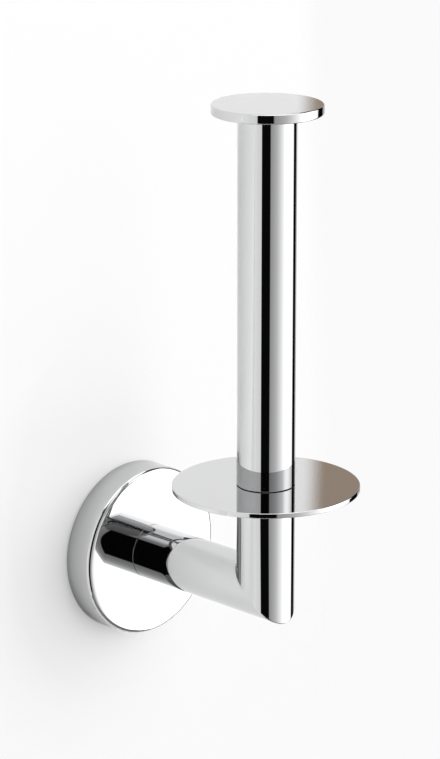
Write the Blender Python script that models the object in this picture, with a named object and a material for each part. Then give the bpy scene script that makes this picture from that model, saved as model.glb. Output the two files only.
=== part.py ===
"""A wall-mounted holder for a spare toilet roll, in polished chrome, piece by piece.

A round rosette covers a plate that is screwed to the wall. A mitred elbow of tube
leaves the rosette's centre and turns up. It carries a thin round disc, on which the
roll stands, and a tall post with a flat cap, which the roll's core drops over.

Metres, +Z up. The wall is the plane Y = 0, the arm runs along -Y, and the origin is
the centre of the wall plate's back face.
"""

import math

import bmesh
import bpy
from mathutils import Vector

# Clearances and working values
gap = 0.0003  # between any two neighbouring pieces
overrun = 0.002  # how far a cutter runs past what it cuts
weld = 0.000001  # points closer than this are one point

# How finely round shapes are cut into flats
wide_steps = 80
tube_steps = 56
inner_steps = 32
small_steps = 24
hexagon_steps = 6
edge_steps = 2
smooth_angle = math.radians(32)

# The tube that the elbow and the post are made of
tube_radius = 0.009
tube_wall = 0.001

# The holder's main reach and heights
projection = 0.0615  # wall to the post's axis
disc_height = 0.0328  # arm's axis to the disc's underside
post_height = 0.1156  # disc's top to the cap's underside

# The rosette, a cup with its open side on the wall
rosette_radius = 0.0275
rosette_depth = 0.0114
rosette_wall = 0.0012
rosette_edge = 0.0005

# The disc that the roll stands on
disc_radius = 0.029
disc_thickness = 0.0016
disc_edge = 0.0003
foot_recess = 0.0003  # the shallow seat that centres the post

# The cap on the post, with a spigot that plugs the tube
cap_radius = 0.017
cap_thickness = 0.003
cap_edge = 0.0004
cap_skin = 0.0014  # metal left over the cap's blind hole
spigot_height = 0.0025

# Threaded inserts, studs and washers inside the tubes
insert_length = 0.010
stud_radius = 0.003
stud_point = 0.0006
washer_thickness = 0.001

# The bolt that holds the elbow to the rosette
bolt_radius = 0.0025
bolt_head_radius = 0.0042
bolt_head_height = 0.0028
bolt_socket_radius = 0.0023
bolt_socket_depth = 0.0016
bolt_washer_band = 0.002

# The pin that keeps the elbow upright on the rosette
pin_radius = 0.00075
pin_depth = 0.004  # how far it reaches into the arm

# The grub screw under the rosette, and the boss it is threaded in
grub_radius = 0.002
grub_length = 0.0055
grub_point = 0.0008
grub_socket_radius = 0.00115
grub_socket_depth = 0.002
boss_wall = 0.0018
boss_bite_share = 0.4  # how much of the rosette's wall the boss runs into

# The wall plate, a dish that the rosette slides over
plate_thickness = 0.0025
plate_rim_wall = 0.0075
plate_front_room = 0.0023  # between its rim and the rosette's front wall
plate_edge = 0.0004

# Countersunk wall screws and their plugs
screw_radius = 0.00175
screw_length = 0.030
screw_point = 0.004
screw_head_radius = 0.0036
screw_head_height = 0.0019
screw_head_edge = 0.0003
screw_side_room = 0.0006
cross_reach = 0.0019
cross_width = 0.0007
cross_depth = 0.0011
plug_radius = 0.003
plug_length = 0.030
plug_mouth = 0.006  # the part of the plug that isn't split
plug_slit = 0.0009

# Places worked out from the sizes above
insert_radius = tube_radius - tube_wall - gap
arm_start = rosette_depth + gap
rosette_inside = rosette_radius - rosette_wall
rosette_floor = rosette_depth - rosette_wall

disc_top = disc_height + disc_thickness
cap_bottom = disc_top + post_height
cap_top = cap_bottom + cap_thickness
foot_level = disc_top - foot_recess
lower_insert_bottom = foot_level + gap + washer_thickness + gap
upper_insert_top = cap_bottom - spigot_height - gap
elbow_insert_top = disc_height - gap - washer_thickness - gap

bolt_washer_radius = bolt_radius + bolt_washer_band
bolt_washer_front = rosette_floor - gap
bolt_head_front = bolt_washer_front - washer_thickness - gap
pin_offset = (bolt_washer_radius + gap + insert_radius) / 2

grub_distance = rosette_floor / 2
grub_end = -(rosette_radius - gap)
grub_tip = grub_end + grub_length
boss_half = grub_radius + boss_wall
boss_inner = grub_tip - gap
notch_half = boss_half + gap
notch_floor = grub_tip + gap

plate_radius = rosette_inside - gap
plate_depth = rosette_floor - plate_front_room
pocket_radius = plate_radius - plate_rim_wall
screw_offset = pocket_radius - screw_head_radius - gap - screw_side_room

out_from_wall = (math.radians(90), 0, 0)
into_wall = (math.radians(-90), 0, 0)
full_turn = math.radians(360)


def clear_scene():
    """Remove whatever the scene holds at the start."""
    for old in list(bpy.data.objects):
        bpy.data.objects.remove(old, do_unlink=True)


def finish(name, colour, metallic, roughness):
    """A Principled material for one kind of surface."""
    made = bpy.data.materials.new(name)
    made.use_nodes = True
    shader = made.node_tree.nodes["Principled BSDF"]
    shader.inputs["Base Color"].default_value = (*colour, 1)
    shader.inputs["Metallic"].default_value = metallic
    shader.inputs["Roughness"].default_value = roughness
    return made


def centre_line(name, place=(0, 0, 0)):
    """An empty that pieces are placed from."""
    line = bpy.data.objects.new(name, None)
    line.location = place
    bpy.context.scene.collection.objects.link(line)
    return line


def solid(name, shape, material, parent=None, place=(0, 0, 0), turn=(0, 0, 0)):
    """Turn a bmesh into an object with its faces outwards and its round sides smooth."""
    bmesh.ops.remove_doubles(shape, verts=shape.verts, dist=weld)
    bmesh.ops.recalc_face_normals(shape, faces=shape.faces)
    mesh = bpy.data.meshes.new(name)
    shape.to_mesh(mesh)
    shape.free()
    mesh.shade_smooth()
    mesh.set_sharp_from_angle(angle=smooth_angle)
    piece = bpy.data.objects.new(name, mesh)
    piece.location = place
    piece.rotation_euler = turn
    piece.parent = parent
    if material:
        mesh.materials.append(material)
    bpy.context.scene.collection.objects.link(piece)
    return piece


def eased(outline, corners, size):
    """Swap the square corners that are listed for quarter arcs of the given size."""
    points = []
    for index, corner in enumerate(outline):
        if index not in corners:
            points.append(corner)
            continue
        corner = Vector(corner)
        before = Vector(outline[index - 1])
        after = Vector(outline[(index + 1) % len(outline)])
        first = corner + (before - corner).normalized() * size
        last = corner + (after - corner).normalized() * size
        centre = first + last - corner
        for step in range(edge_steps + 1):
            angle = math.radians(90) * step / edge_steps
            across = (first - centre) * math.cos(angle)
            along = (last - centre) * math.sin(angle)
            points.append(tuple(centre + across + along))
    return points


def turned_shape(outline, steps):
    """Spin an outline of (radius, height) points round Z.

    An outline that starts on the axis ends on it too, and the others are closed loops.
    """
    shape = bmesh.new()
    points = [shape.verts.new((radius, 0, height)) for radius, height in outline]
    pairs = list(zip(points, points[1:]))
    if outline[0][0] > 0:
        pairs.append((points[-1], points[0]))
    edges = [shape.edges.new(pair) for pair in pairs]
    bmesh.ops.spin(
        shape,
        geom=points + edges,
        cent=(0, 0, 0),
        axis=(0, 0, 1),
        angle=full_turn,
        steps=steps,
        use_merge=True,
    )
    return shape


def rod(radius, bottom, top):
    """The outline of a plain rod."""
    return [(0, bottom), (radius, bottom), (radius, top), (0, top)]


def ring(inner, outer, bottom, top):
    """The outline of a washer or a length of tube."""
    return [(inner, bottom), (outer, bottom), (outer, top), (inner, top)]


def pointed_rod(radius, bottom, top, point):
    """The outline of a stud, with a chamfer at each end."""
    neck = radius - point
    return [
        (0, bottom),
        (neck, bottom),
        (radius, bottom + point),
        (radius, top - point),
        (neck, top),
        (0, top),
    ]


def block_shape(low, high):
    """A box between two corners."""
    shape = bmesh.new()
    bmesh.ops.create_cube(shape, size=1)
    size = [b - a for a, b in zip(low, high)]
    middle = [(a + b) / 2 for a, b in zip(low, high)]
    bmesh.ops.scale(shape, vec=size, verts=shape.verts)
    bmesh.ops.translate(shape, vec=middle, verts=shape.verts)
    return shape


def cross_shape(reach, width, bottom, top):
    """A plus-shaped bar along Z, for the drive in a screw's head."""
    arm = [(reach, -width), (reach, width), (width, width)]
    points = []
    for quarter in range(4):
        angle = math.radians(90) * quarter
        c, s = math.cos(angle), math.sin(angle)
        points += [(x * c - y * s, x * s + y * c) for x, y in arm]
    shape = bmesh.new()
    floor = shape.faces.new([shape.verts.new((x, y, bottom)) for x, y in points])
    risen = bmesh.ops.extrude_face_region(shape, geom=[floor])["geom"]
    lifted = [item for item in risen if isinstance(item, bmesh.types.BMVert)]
    bmesh.ops.translate(shape, vec=(0, 0, top - bottom), verts=lifted)
    return shape


def helper(name, shape, parent=None, place=(0, 0, 0), turn=(0, 0, 0)):
    """A cutter or a boss, which shapes another piece and isn't one itself."""
    made = solid(name, shape, None, parent, place, turn)
    made.hide_render = True
    made.display_type = "WIRE"
    return made


def combine(piece, other, operation):
    """Cut the other solid from the piece, or join it on."""
    step = piece.modifiers.new(other.name, "BOOLEAN")
    step.operation = operation
    step.object = other
    step.solver = "EXACT"


def cut(piece, other):
    combine(piece, other, "DIFFERENCE")


def join(piece, other):
    combine(piece, other, "UNION")


def make_wall_plate(parent, material):
    """A dished plate with two countersunk holes and a notch for the rosette's boss."""
    outline = [
        (0, 0),
        (plate_radius, 0),
        (plate_radius, plate_depth),
        (pocket_radius, plate_depth),
        (pocket_radius, plate_thickness),
        (0, plate_thickness),
    ]
    outline = eased(outline, [2, 3], plate_edge)
    shape = turned_shape(outline, wide_steps)
    plate = solid("wall_plate", shape, material, parent, turn=out_from_wall)
    low = (-notch_half, -plate_depth - overrun, -rosette_radius)
    high = (notch_half, overrun, notch_floor)
    cut(plate, helper("notch_cutter", block_shape(low, high), parent))
    for side, name in ((-1, "left"), (1, "right")):
        hole = [
            (0, -overrun),
            (screw_head_radius + gap, -overrun),
            (screw_head_radius + gap, screw_head_edge),
            (screw_radius + gap, screw_head_height),
            (screw_radius + gap, plate_thickness + overrun),
            (0, plate_thickness + overrun),
        ]
        place = (side * screw_offset, -plate_thickness, 0)
        shape = turned_shape(hole, small_steps)
        cut(plate, helper(f"screw_hole_{name}", shape, parent, place, into_wall))


def make_wall_screws(parent, material):
    """Countersunk cross-head screws, their heads flush in the plate."""
    outline = [
        (0, 0),
        (screw_head_radius, 0),
        (screw_head_radius, screw_head_edge),
        (screw_radius, screw_head_height),
        (screw_radius, screw_length - screw_point),
        (0, screw_length),
    ]
    for side, name in ((-1, "left"), (1, "right")):
        place = (side * screw_offset, -plate_thickness, 0)
        shape = turned_shape(outline, small_steps)
        screw = solid(f"wall_screw_{name}", shape, material, parent, place, into_wall)
        drive = cross_shape(cross_reach, cross_width / 2, -overrun, cross_depth)
        cut(screw, helper(f"drive_{name}", drive, parent, place, into_wall))


def make_wall_plugs(parent, material):
    """Plastic plugs in the wall, split along most of their length."""
    outline = ring(screw_radius + gap, plug_radius, gap, plug_length)
    low = (-plug_radius - overrun, -plug_slit / 2, gap + plug_mouth)
    high = (plug_radius + overrun, plug_slit / 2, plug_length + overrun)
    for side, name in ((-1, "left"), (1, "right")):
        place = (side * screw_offset, 0, 0)
        shape = turned_shape(outline, small_steps)
        plug = solid(f"wall_plug_{name}", shape, material, parent, place, into_wall)
        slit = block_shape(low, high)
        cut(plug, helper(f"slit_{name}", slit, parent, place, into_wall))


def make_rosette(parent, material):
    """The cup over the wall plate, with a boss inside for its grub screw."""
    hole = bolt_radius + gap
    outline = [
        (hole, rosette_depth),
        (rosette_radius, rosette_depth),
        (rosette_radius, gap),
        (rosette_inside, gap),
        (rosette_inside, rosette_floor),
        (hole, rosette_floor),
    ]
    outline = eased(outline, [1], rosette_edge)
    shape = turned_shape(outline, wide_steps)
    rosette = solid("rosette", shape, material, parent, turn=out_from_wall)
    bite = rosette_wall * boss_bite_share
    low = (-boss_half, -rosette_floor - bite, -rosette_inside - bite)
    high = (boss_half, -grub_distance + boss_half, boss_inner)
    join(rosette, helper("grub_boss", block_shape(low, high), parent))
    hole = rod(grub_radius + gap, -rosette_radius - overrun, boss_inner + overrun)
    place = (0, -grub_distance, 0)
    shape = turned_shape(hole, small_steps)
    cut(rosette, helper("grub_hole", shape, parent, place))
    cut(rosette, make_pin_hole("rosette_pin_hole", parent))


def make_pin_hole(name, parent):
    """The drilling for the locating pin, through rosette and arm."""
    end = arm_start + pin_depth + gap
    hole = rod(pin_radius + gap, rosette_floor - overrun, end)
    shape = turned_shape(hole, small_steps)
    return helper(name, shape, parent, (0, 0, pin_offset), out_from_wall)


def make_grub_screw(parent, material):
    """The screw that is tightened from below against the wall plate's notch."""
    tip = grub_radius - grub_point
    outline = [
        (0, 0),
        (grub_radius, 0),
        (grub_radius, grub_length - grub_point),
        (tip, grub_length),
        (0, grub_length),
    ]
    place = (0, -grub_distance, grub_end)
    shape = turned_shape(outline, small_steps)
    screw = solid("rosette_grub_screw", shape, material, parent, place)
    socket = rod(grub_socket_radius, -overrun, grub_socket_depth)
    shape = turned_shape(socket, hexagon_steps)
    cut(screw, helper("grub_socket", shape, parent, place))


def elbow_rings(radius):
    """Rings at the arm's end, at the mitre and at the stub's end, for one radius."""
    rings = []
    for step in range(tube_steps):
        angle = full_turn * step / tube_steps
        x = radius * math.cos(angle)
        rise = radius * math.sin(angle)
        rings.append(
            (
                (x, -arm_start, rise),
                (x, rise - projection, rise),
                (x, rise - projection, disc_height - gap),
            )
        )
    return rings


def make_elbow(parent, material):
    """The arm and the short upright, one length of tube with a mitred corner."""
    shape = bmesh.new()
    walls = []
    for radius in (tube_radius, tube_radius - tube_wall):
        lines = [[shape.verts.new(p) for p in line] for line in elbow_rings(radius)]
        walls.append(lines)
        for near, far in zip(lines, lines[1:] + lines[:1]):
            for low in range(len(near) - 1):
                corners = (near[low], far[low], far[low + 1], near[low + 1])
                shape.faces.new(corners)
    outer, inner = walls
    for end in (0, -1):
        for step in range(tube_steps):
            beside = (step + 1) % tube_steps
            shape.faces.new(
                (outer[step][end], outer[beside][end], inner[beside][end], inner[step][end])
            )
    solid("elbow_arm", shape, material, parent)


def make_arm_fixings(parent, brass, steel):
    """What holds the elbow to the rosette: insert, bolt, washer and locating pin."""
    end = arm_start + insert_length
    outline = ring(bolt_radius + gap, insert_radius, arm_start, end)
    shape = turned_shape(outline, inner_steps)
    insert = solid("arm_insert", shape, brass, parent, turn=out_from_wall)
    cut(insert, make_pin_hole("insert_pin_hole", parent))

    back = bolt_head_front - bolt_head_height
    outline = [
        (0, back),
        (bolt_head_radius, back),
        (bolt_head_radius, bolt_head_front),
        (bolt_radius, bolt_head_front),
        (bolt_radius, end),
        (0, end),
    ]
    shape = turned_shape(outline, small_steps)
    bolt = solid("arm_bolt", shape, steel, parent, turn=out_from_wall)
    socket = rod(bolt_socket_radius, back - overrun, back + bolt_socket_depth)
    shape = turned_shape(socket, hexagon_steps)
    cut(bolt, helper("bolt_socket", shape, parent, turn=out_from_wall))

    back = bolt_washer_front - washer_thickness
    outline = ring(bolt_radius + gap, bolt_washer_radius, back, bolt_washer_front)
    shape = turned_shape(outline, small_steps)
    solid("arm_bolt_washer", shape, steel, parent, turn=out_from_wall)

    shape = turned_shape(rod(pin_radius, rosette_floor, arm_start + pin_depth), small_steps)
    solid("locating_pin", shape, steel, parent, (0, 0, pin_offset), out_from_wall)


def make_inner_stack(parent, brass, steel):
    """Inserts, studs and washers that pull elbow, disc, post and cap together."""
    bore = stud_radius + gap
    inserts = (
        ("elbow_insert", elbow_insert_top - insert_length),
        ("post_insert_lower", lower_insert_bottom),
        ("post_insert_upper", upper_insert_top - insert_length),
    )
    for name, bottom in inserts:
        outline = ring(bore, insert_radius, bottom, bottom + insert_length)
        solid(name, turned_shape(outline, inner_steps), brass, parent)

    washers = (
        ("disc_washer", disc_height - gap - washer_thickness),
        ("post_washer", foot_level + gap),
    )
    for name, bottom in washers:
        outline = ring(bore, insert_radius, bottom, bottom + washer_thickness)
        solid(name, turned_shape(outline, inner_steps), steel, parent)

    bottom = elbow_insert_top - insert_length
    top = lower_insert_bottom + insert_length
    outline = pointed_rod(stud_radius, bottom, top, stud_point)
    solid("post_stud", turned_shape(outline, small_steps), steel, parent)
    bottom = upper_insert_top - insert_length
    top = cap_top - cap_skin - gap
    outline = pointed_rod(stud_radius, bottom, top, stud_point)
    solid("cap_stud", turned_shape(outline, small_steps), steel, parent)


def make_base_disc(parent, material):
    """The thin round disc that the roll stands on, with a shallow seat for the post."""
    bore = stud_radius + gap
    seat = tube_radius + gap
    outline = [
        (bore, disc_height),
        (disc_radius, disc_height),
        (disc_radius, disc_top),
        (seat, disc_top),
        (seat, foot_level),
        (bore, foot_level),
    ]
    outline = eased(outline, [1, 2], disc_edge)
    solid("base_disc", turned_shape(outline, wide_steps), material, parent)


def make_post_tube(parent, material):
    """The upright tube that the roll's core drops over."""
    inner = tube_radius - tube_wall
    outline = ring(inner, tube_radius, foot_level + gap, cap_bottom - gap)
    solid("post_tube", turned_shape(outline, tube_steps), material, parent)


def make_top_cap(parent, material):
    """The flat cap, with a spigot below it and a blind hole for its stud."""
    spigot_bottom = cap_bottom - spigot_height
    bore = stud_radius + gap
    outline = [
        (0, cap_top),
        (cap_radius, cap_top),
        (cap_radius, cap_bottom),
        (insert_radius, cap_bottom),
        (insert_radius, spigot_bottom),
        (bore, spigot_bottom),
        (bore, cap_top - cap_skin),
        (0, cap_top - cap_skin),
    ]
    outline = eased(outline, [1, 2], cap_edge)
    solid("top_cap", turned_shape(outline, wide_steps), material, parent)


def build():
    clear_scene()
    chrome = finish("polished_chrome", (0.78, 0.79, 0.8), 1, 0.05)
    zinc = finish("cast_zinc", (0.5, 0.51, 0.52), 1, 0.45)
    steel = finish("plated_steel", (0.62, 0.62, 0.6), 1, 0.3)
    brass = finish("turned_brass", (0.72, 0.53, 0.26), 1, 0.3)
    plastic = finish("grey_plastic", (0.42, 0.43, 0.45), 0, 0.5)

    wall_side = centre_line("wall_side")
    make_wall_plate(wall_side, zinc)
    make_wall_screws(wall_side, steel)
    make_wall_plugs(wall_side, plastic)

    holder = centre_line("holder")
    make_rosette(holder, chrome)
    make_grub_screw(holder, steel)
    make_elbow(holder, chrome)
    make_arm_fixings(holder, brass, steel)

    post_axis = centre_line("post_axis", (0, -projection, 0))
    post_axis.parent = holder
    make_inner_stack(post_axis, brass, steel)
    make_base_disc(post_axis, chrome)
    make_post_tube(post_axis, chrome)
    make_top_cap(post_axis, chrome)


build()
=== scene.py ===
# %% [markdown]
# # A chrome holder for a spare toilet roll
#
# The holder is made of turned and bent tube, polished and plated with chrome. Nearly
# everything that the eye sees on it is a reflection, so this lesson has two halves:
# clean shapes with small, exact edges, and a studio whose light and dark parts are
# worth reflecting.
#
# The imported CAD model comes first. It is the fixed frame that every piece is set into.
# Its wall is the plane Y = 0, the arm runs along -Y, Z is up, and lengths are metres.

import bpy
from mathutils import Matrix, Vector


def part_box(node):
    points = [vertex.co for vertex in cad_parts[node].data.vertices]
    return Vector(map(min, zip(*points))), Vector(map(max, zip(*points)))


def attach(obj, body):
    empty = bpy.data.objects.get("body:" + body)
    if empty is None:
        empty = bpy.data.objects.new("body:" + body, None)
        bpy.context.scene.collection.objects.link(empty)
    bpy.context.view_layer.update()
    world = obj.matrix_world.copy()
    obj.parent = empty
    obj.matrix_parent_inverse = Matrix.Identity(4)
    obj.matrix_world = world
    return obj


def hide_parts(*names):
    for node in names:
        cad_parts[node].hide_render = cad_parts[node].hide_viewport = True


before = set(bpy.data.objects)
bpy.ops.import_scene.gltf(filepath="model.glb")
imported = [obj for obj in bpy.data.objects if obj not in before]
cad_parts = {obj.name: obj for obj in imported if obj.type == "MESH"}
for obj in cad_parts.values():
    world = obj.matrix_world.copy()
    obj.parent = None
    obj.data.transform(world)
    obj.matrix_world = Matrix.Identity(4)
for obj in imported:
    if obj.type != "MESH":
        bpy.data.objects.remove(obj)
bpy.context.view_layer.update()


# %% Modules and the frame's places
import math

import bmesh
import bpy
from mathutils import Matrix, Vector

disc_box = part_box("base_disc")
post_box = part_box("post_tube")
cap_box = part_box("top_cap")
rosette_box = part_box("rosette")

tube_radius = post_box[1].x
post_axis = Vector((0, (post_box[0].y + post_box[1].y) / 2, 0))
print("post axis at Y =", round(post_axis.y, 4), "tube radius", round(tube_radius, 4))

# %% [markdown]
# ## How a turned piece is made
#
# The rosette, the disc, the cap and all the fixings are turned on a lathe. Half of the
# cross-section is drawn as an outline of a few points, its corners are rounded, and the
# outline is spun round an axis. Rounding the corners before the spin needs one small
# bevel instead of one round the whole rim.
#
# A polished edge is never sharp: even two tenths of a millimetre catch a line of light.

# %% Spin an outline
full_turn = math.radians(360)
weld = 0.0000005
fine_steps = 192
out_from_wall = Matrix.Rotation(math.radians(90), 4, "X")
into_wall = Matrix.Rotation(math.radians(-90), 4, "X")


def turned(outline, eased=(), ease=0.0, steps=fine_steps, segments=5):
    """Spin (radius, height) points round Z, after rounding the corners in eased."""
    shape = bmesh.new()
    points = [shape.verts.new((radius, 0, height)) for radius, height in outline]
    pairs = list(zip(points, points[1:]))
    if outline[0][0] > 0:
        pairs.append((points[-1], points[0]))
    for pair in pairs:
        shape.edges.new(pair)
    if eased:
        bmesh.ops.bevel(
            shape,
            geom=[points[index] for index in eased],
            offset=ease,
            offset_type="OFFSET",
            segments=segments,
            profile=0.5,
            affect="VERTICES",
            material=-1,
        )
    bmesh.ops.spin(
        shape,
        geom=shape.verts[:] + shape.edges[:],
        cent=(0, 0, 0),
        axis=(0, 0, 1),
        angle=full_turn,
        steps=steps,
        use_merge=True,
    )
    return shape


def moved(shape, turn=Matrix.Identity(4), place=(0, 0, 0)):
    """Turn a shape about the origin, then move it."""
    matrix = Matrix.Translation(place) @ turn
    bmesh.ops.transform(shape, matrix=matrix, verts=shape.verts)
    return shape


# %% [markdown]
# ## From a shape to a piece
#
# Each shape becomes an object that sits at the origin, with its place in its mesh.
# Flat faces next to a rounded edge would pick up a false gradient if the normals were
# averaged, and on chrome that shows at once. The Weighted Normal modifier lets the
# large faces decide, so flats stay flat and only the small edge faces turn.

# %% Finish a piece
sharp_angle = math.radians(40)


def piece(name, shape, material, body, replaced):
    bmesh.ops.remove_doubles(shape, verts=shape.verts, dist=weld)
    bmesh.ops.recalc_face_normals(shape, faces=shape.faces)
    mesh = bpy.data.meshes.new(name)
    shape.to_mesh(mesh)
    shape.free()
    mesh.materials.append(material)
    mesh.shade_smooth()
    mesh.set_sharp_from_angle(angle=sharp_angle)
    made = bpy.data.objects.new(name, mesh)
    bpy.context.scene.collection.objects.link(made)
    normals = made.modifiers.new("flat_faces_stay_flat", "WEIGHTED_NORMAL")
    normals.keep_sharp = True
    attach(made, body)
    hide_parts(*replaced)
    print(f"{name}: {len(mesh.polygons)} faces on {body}")
    return made


# %% [markdown]
# ## Materials
#
# Chrome has no colour pattern of its own. What makes it read as a plated surface is a
# neutral grey metal that returns a little less than half of the light, a very low
# roughness that drifts a little where the polishing wheel went, and a waviness far
# below a millimetre. Each further mirror in a reflection halves its light again, which
# is why the post's image in the disc is darker than the post. The noise runs on Object
# coordinates, so it stays with the piece.

# %% A helper for node materials
def node(tree, kind, at=(0, 0), **settings):
    """Add a node, with its settings and input values."""
    made = tree.nodes.new(kind)
    made.location = at
    for name, value in settings.items():
        if name in made.inputs:
            made.inputs[name].default_value = value
        else:
            setattr(made, name, value)
    return made


noise_low = 0.3
noise_high = 0.7


def metal(
    name,
    colour,
    rough,
    drift,
    drift_scale,
    grain_scale,
    grain_height,
    stretch=1.0,
    edge=1.0,
):
    """A metal whose roughness drifts and whose surface has a fine grain."""
    made = bpy.data.materials.new(name)
    made.use_nodes = True
    tree = made.node_tree
    shader = tree.nodes["Principled BSDF"]
    shader.inputs["Base Color"].default_value = (*colour, 1)
    shader.inputs["Metallic"].default_value = 1
    shader.inputs["Specular Tint"].default_value = (edge, edge, edge, 1)
    place = node(tree, "ShaderNodeTexCoord", (-1000, 0))
    broad = node(tree, "ShaderNodeTexNoise", (-700, 100), Scale=drift_scale, Detail=3)
    spread = node(tree, "ShaderNodeMapRange", (-450, 100))
    spread.inputs["From Min"].default_value = noise_low
    spread.inputs["From Max"].default_value = noise_high
    spread.inputs["To Min"].default_value = rough
    spread.inputs["To Max"].default_value = rough + drift
    mapping = node(tree, "ShaderNodeMapping", (-850, -200))
    mapping.inputs["Scale"].default_value = (1, 1, stretch)
    grain = node(tree, "ShaderNodeTexNoise", (-650, -200), Scale=grain_scale, Detail=4)
    bump = node(tree, "ShaderNodeBump", (-300, -200))
    bump.inputs["Strength"].default_value = 1
    bump.inputs["Distance"].default_value = grain_height
    link = tree.links.new
    link(place.outputs["Object"], broad.inputs["Vector"])
    link(broad.outputs["Fac"], spread.inputs["Value"])
    link(spread.outputs["Result"], shader.inputs["Roughness"])
    link(place.outputs["Object"], mapping.inputs["Vector"])
    link(mapping.outputs["Vector"], grain.inputs["Vector"])
    link(grain.outputs["Fac"], bump.inputs["Height"])
    link(bump.outputs["Normal"], shader.inputs["Normal"])
    return made


# %% Chrome and the hidden metals
mirror_finish = {
    "rough": 0.01,
    "drift": 0.014,
    "drift_scale": 45,
    "grain_scale": 600,
    "grain_height": 0.00000005,
    "edge": 0.85,
}
chrome = metal("polished_chrome", (0.464, 0.466, 0.47), **mirror_finish)
# The disc's chrome is a lighter copy of the same chrome: painted light that brightens
# its reflections.
disc_chrome = metal("disc_chrome", (0.476, 0.478, 0.481), **mirror_finish)
zinc = metal(
    "cast_zinc",
    (0.3, 0.306, 0.314),
    rough=0.38,
    drift=0.14,
    drift_scale=120,
    grain_scale=1600,
    grain_height=0.00003,
)
steel = metal(
    "plated_steel",
    (0.4, 0.402, 0.395),
    rough=0.2,
    drift=0.12,
    drift_scale=160,
    grain_scale=1200,
    grain_height=0.000004,
)
brass = metal(
    "turned_brass",
    (0.52, 0.37, 0.17),
    rough=0.18,
    drift=0.1,
    drift_scale=200,
    grain_scale=300,
    grain_height=0.000008,
    stretch=14,
)
print("metals:", chrome.name, zinc.name, steel.name, brass.name)

# %% Plastic and other dull surfaces
def dull(name, dark, light, rough, shine, scale, grain_height):
    """A surface without metal shine, whose colour wanders between two tones."""
    made = bpy.data.materials.new(name)
    made.use_nodes = True
    tree = made.node_tree
    shader = tree.nodes["Principled BSDF"]
    shader.inputs["Roughness"].default_value = rough
    shader.inputs["Specular IOR Level"].default_value = shine
    place = node(tree, "ShaderNodeTexCoord", (-900, 0))
    noise = node(tree, "ShaderNodeTexNoise", (-700, 0), Scale=scale, Detail=4)
    tones = node(tree, "ShaderNodeValToRGB", (-450, 0))
    tones.color_ramp.elements[0].color = (*dark, 1)
    tones.color_ramp.elements[1].color = (*light, 1)
    bump = node(tree, "ShaderNodeBump", (-250, -250))
    bump.inputs["Distance"].default_value = grain_height
    link = tree.links.new
    link(place.outputs["Object"], noise.inputs["Vector"])
    link(noise.outputs["Fac"], tones.inputs["Fac"])
    link(tones.outputs["Color"], shader.inputs["Base Color"])
    link(noise.outputs["Fac"], bump.inputs["Height"])
    link(bump.outputs["Normal"], shader.inputs["Normal"])
    return made


plastic = dull(
    "grey_plastic",
    dark=(0.36, 0.37, 0.39),
    light=(0.46, 0.47, 0.49),
    rough=0.48,
    shine=0.5,
    scale=350,
    grain_height=0.00002,
)
# Painted shade: a near-black surface for the post's foot groove, the shadow line at the
# disc.
groove_painted_shade = dull(
    "groove_painted_shade",
    dark=(0.03, 0.03, 0.03),
    light=(0.05, 0.05, 0.05),
    rough=0.7,
    shine=0.05,
    scale=900,
    grain_height=0.000002,
)
print("dull surfaces:", plastic.name, groove_painted_shade.name)

# %% [markdown]
# ## The post
#
# The post is a length of tube, 18 mm across with a 1 mm wall. Its foot is turned down a
# little for the last fifth of a millimetre. The groove gets a near-black surface,
# painted shade, which shows as the thin dark shadow line between the tube and the disc.

# %% Post tube
tube_wall = 0.001
end_ease = 0.0001
tube_inner = tube_radius - tube_wall
cap_bottom = 0.150
disc_top = disc_box[1].z
groove_depth = 0.0003
groove_height = 0.0002
groove_top = disc_top + groove_height
groove_reach = tube_radius - 1.5 * groove_depth
cap_gap = 0.00005
post_head = cap_bottom - cap_gap
post_shape = turned(
    [
        (tube_inner, post_box[0].z),
        (tube_radius - groove_depth, post_box[0].z),
        (tube_radius - groove_depth, groove_top),
        (tube_radius, groove_top),
        (tube_radius, post_head),
        (tube_inner, post_head),
    ],
    eased=[3, 4],
    ease=end_ease,
    segments=3,
)
# The groove's faces get the painted shade.
for face in post_shape.faces:
    middle = face.calc_center_median()
    if middle.z < groove_top + weld and middle.xy.length > groove_reach:
        face.material_index = 1
post_shape = moved(post_shape, place=post_axis)
post = piece(
    "post_polished", post_shape, chrome, "holder", ["post_tube"]
)
post.data.materials.append(groove_painted_shade)

# %% [markdown]
# ## The disc and the cap
#
# Both are flat turned plates. The disc is only 1.6 mm thick and has a shallow seat for
# the post's foot. The cap has a spigot below that plugs the tube.

# %% Base disc
stud_bore = 0.0033
seat_radius = 0.0088
seat_depth = 0.0003
seat_floor = disc_top - seat_depth
disc_edge = 0.0003
disc_shape = turned(
    [
        (stud_bore, disc_box[0].z),
        (disc_box[1].x, disc_box[0].z),
        (disc_box[1].x, disc_top),
        (seat_radius, disc_top),
        (seat_radius, seat_floor),
        (stud_bore, seat_floor),
    ],
    eased=[1, 2],
    ease=disc_edge,
)
disc_shape = moved(disc_shape, place=post_axis)
piece("roll_disc", disc_shape, disc_chrome, "holder", ["base_disc"])

# %% Top cap
spigot_radius = 0.0077
cap_edge = 0.0005
hole_roof = cap_box[1].z - 0.0014
cap_shape = turned(
    [
        (0, cap_box[1].z),
        (cap_box[1].x, cap_box[1].z),
        (cap_box[1].x, cap_bottom),
        (spigot_radius, cap_bottom),
        (spigot_radius, cap_box[0].z),
        (stud_bore, cap_box[0].z),
        (stud_bore, hole_roof),
        (0, hole_roof),
    ],
    eased=[1, 2],
    ease=cap_edge,
)
cap_shape = moved(cap_shape, place=post_axis)
piece("post_cap", cap_shape, chrome, "holder", ["top_cap"])

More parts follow.
